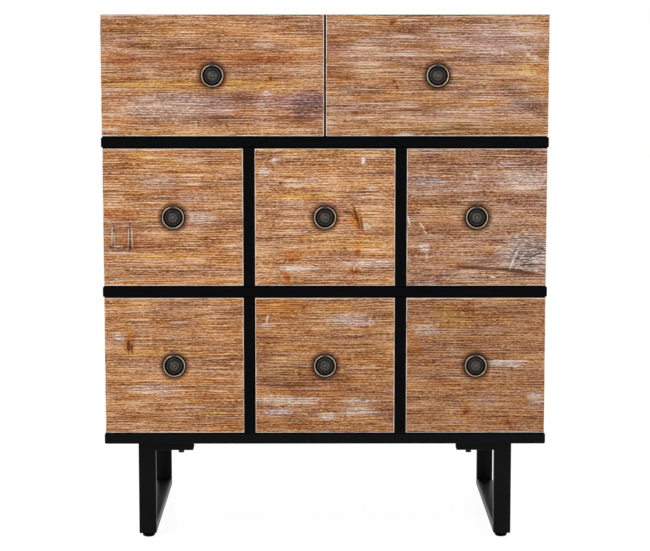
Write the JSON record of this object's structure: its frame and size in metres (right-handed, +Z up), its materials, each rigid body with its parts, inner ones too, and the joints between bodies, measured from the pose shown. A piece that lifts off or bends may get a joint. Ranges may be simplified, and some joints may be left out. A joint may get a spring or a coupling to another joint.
{
  "type": "chest of drawers",
  "caption": "Chest of drawers with black boards, limed fir fronts, hanging ring pulls and welded steel loop legs on levelling feet.",
  "frame": {"origin": "on the floor under the middle of the whole object's box, drawer pulls included", "axes": "+Z up, -Y out of the drawer fronts towards a person who opens them, +X to that person's right"},
  "size_m": [0.76, 0.4262, 0.906],
  "materials": {
    "black_board": "black lacquered board, satin",
    "limed_fir": "brushed fir with a white limed grain, matt",
    "drawer_wood": "plain pale wood, matt",
    "hardboard": "brown hardboard, matt",
    "dowel_beech": "bare beech",
    "black_steel": "black powder coat, satin",
    "screw_steel": "dark oiled steel",
    "foot_plastic": "black moulded plastic, matt",
    "dark_bronze": "dark bronzed brass with rubbed ridges",
    "antique_brass": "antique brass wire"
  },
  "bodies": {
    "case": {"bottom_board": "black_board", "top_board": "black_board", "lower_shelf": "black_board", "upper_shelf": "black_board", "left_side": "black_board", "right_side": "black_board", "back_panel": "hardboard", "top_divider": "black_board", "middle_divider_left": "black_board", "middle_divider_right": "black_board", "bottom_divider_left": "black_board", "bottom_divider_right": "black_board", "case_dowels": "dowel_beech", "left_leg_frame": "black_steel", "right_leg_frame": "black_steel", "leg_fasteners": "screw_steel"},
    "drawer_top_left": {"drawer_front_top_left": "limed_fir", "drawer_box_top_left": "drawer_wood", "drawer_bottom_top_left": "drawer_wood", "pull_plate_top_left": "dark_bronze"},
    "ring_top_left": {"pull_ring_top_left": "antique_brass"},
    "drawer_top_right": {"drawer_front_top_right": "limed_fir", "drawer_box_top_right": "drawer_wood", "drawer_bottom_top_right": "drawer_wood", "pull_plate_top_right": "dark_bronze"},
    "ring_top_right": {"pull_ring_top_right": "antique_brass"},
    "drawer_middle_left": {"drawer_front_middle_left": "limed_fir", "drawer_box_middle_left": "drawer_wood", "drawer_bottom_middle_left": "drawer_wood", "pull_plate_middle_left": "dark_bronze"},
    "ring_middle_left": {"pull_ring_middle_left": "antique_brass"},
    "drawer_middle_centre": {"drawer_front_middle_centre": "limed_fir", "drawer_box_middle_centre": "drawer_wood", "drawer_bottom_middle_centre": "drawer_wood", "pull_plate_middle_centre": "dark_bronze"},
    "ring_middle_centre": {"pull_ring_middle_centre": "antique_brass"},
    "drawer_middle_right": {"drawer_front_middle_right": "limed_fir", "drawer_box_middle_right": "drawer_wood", "drawer_bottom_middle_right": "drawer_wood", "pull_plate_middle_right": "dark_bronze"},
    "ring_middle_right": {"pull_ring_middle_right": "antique_brass"},
    "drawer_bottom_left": {"drawer_front_bottom_left": "limed_fir", "drawer_box_bottom_left": "drawer_wood", "drawer_bottom_bottom_left": "drawer_wood", "pull_plate_bottom_left": "dark_bronze"},
    "ring_bottom_left": {"pull_ring_bottom_left": "antique_brass"},
    "drawer_bottom_centre": {"drawer_front_bottom_centre": "limed_fir", "drawer_box_bottom_centre": "drawer_wood", "drawer_bottom_bottom_centre": "drawer_wood", "pull_plate_bottom_centre": "dark_bronze"},
    "ring_bottom_centre": {"pull_ring_bottom_centre": "antique_brass"},
    "drawer_bottom_right": {"drawer_front_bottom_right": "limed_fir", "drawer_box_bottom_right": "drawer_wood", "drawer_bottom_bottom_right": "drawer_wood", "pull_plate_bottom_right": "dark_bronze"},
    "ring_bottom_right": {"pull_ring_bottom_right": "antique_brass"},
    "foot_front_left": {"foot_front_left": "foot_plastic"},
    "foot_front_right": {"foot_front_right": "foot_plastic"},
    "foot_rear_left": {"foot_rear_left": "foot_plastic"},
    "foot_rear_right": {"foot_rear_right": "foot_plastic"}
  },
  "joints": [
    {"name": "drawer_top_left_slide", "type": "slide", "parent": "case", "child": "drawer_top_left", "axis": [0, -1, 0], "range_m": [0, 0.3]},
    {"name": "ring_top_left_swing", "type": "hinge", "parent": "drawer_top_left", "child": "ring_top_left", "pos_m": [-0.1903, -0.2103, 0.82125], "axis": [-1, 0, 0], "range_deg": [0, 180]},
    {"name": "drawer_top_right_slide", "type": "slide", "parent": "case", "child": "drawer_top_right", "axis": [0, -1, 0], "range_m": [0, 0.3]},
    {"name": "ring_top_right_swing", "type": "hinge", "parent": "drawer_top_right", "child": "ring_top_right", "pos_m": [0.1903, -0.2103, 0.82125], "axis": [-1, 0, 0], "range_deg": [0, 180]},
    {"name": "drawer_middle_left_slide", "type": "slide", "parent": "case", "child": "drawer_middle_left", "axis": [0, -1, 0], "range_m": [0, 0.3]},
    {"name": "ring_middle_left_swing", "type": "hinge", "parent": "drawer_middle_left", "child": "ring_middle_left", "pos_m": [-0.25867, -0.2103, 0.58085], "axis": [-1, 0, 0], "range_deg": [0, 180]},
    {"name": "drawer_middle_centre_slide", "type": "slide", "parent": "case", "child": "drawer_middle_centre", "axis": [0, -1, 0], "range_m": [0, 0.3]},
    {"name": "ring_middle_centre_swing", "type": "hinge", "parent": "drawer_middle_centre", "child": "ring_middle_centre", "pos_m": [0, -0.2103, 0.58085], "axis": [-1, 0, 0], "range_deg": [0, 180]},
    {"name": "drawer_middle_right_slide", "type": "slide", "parent": "case", "child": "drawer_middle_right", "axis": [0, -1, 0], "range_m": [0, 0.3]},
    {"name": "ring_middle_right_swing", "type": "hinge", "parent": "drawer_middle_right", "child": "ring_middle_right", "pos_m": [0.25867, -0.2103, 0.58085], "axis": [-1, 0, 0], "range_deg": [0, 180]},
    {"name": "drawer_bottom_left_slide", "type": "slide", "parent": "case", "child": "drawer_bottom_left", "axis": [0, -1, 0], "range_m": [0, 0.3]},
    {"name": "ring_bottom_left_swing", "type": "hinge", "parent": "drawer_bottom_left", "child": "ring_bottom_left", "pos_m": [-0.25867, -0.2103, 0.32545], "axis": [-1, 0, 0], "range_deg": [0, 180]},
    {"name": "drawer_bottom_centre_slide", "type": "slide", "parent": "case", "child": "drawer_bottom_centre", "axis": [0, -1, 0], "range_m": [0, 0.3]},
    {"name": "ring_bottom_centre_swing", "type": "hinge", "parent": "drawer_bottom_centre", "child": "ring_bottom_centre", "pos_m": [0, -0.2103, 0.32545], "axis": [-1, 0, 0], "range_deg": [0, 180]},
    {"name": "drawer_bottom_right_slide", "type": "slide", "parent": "case", "child": "drawer_bottom_right", "axis": [0, -1, 0], "range_m": [0, 0.3]},
    {"name": "ring_bottom_right_swing", "type": "hinge", "parent": "drawer_bottom_right", "child": "ring_bottom_right", "pos_m": [0.25867, -0.2103, 0.32545], "axis": [-1, 0, 0], "range_deg": [0, 180]},
    {"name": "foot_front_left_turn", "type": "hinge", "parent": "case", "child": "foot_front_left", "pos_m": [-0.3085, -0.16935, 0.009], "axis": [0, 0, 1], "continuous": true},
    {"name": "foot_front_right_turn", "type": "hinge", "parent": "case", "child": "foot_front_right", "pos_m": [0.3085, -0.16935, 0.009], "axis": [0, 0, 1], "continuous": true},
    {"name": "foot_rear_left_turn", "type": "hinge", "parent": "case", "child": "foot_rear_left", "pos_m": [-0.3085, 0.17565, 0.009], "axis": [0, 0, 1], "continuous": true},
    {"name": "foot_rear_right_turn", "type": "hinge", "parent": "case", "child": "foot_rear_right", "pos_m": [0.3085, 0.17565, 0.009], "axis": [0, 0, 1], "continuous": true}
  ]
}
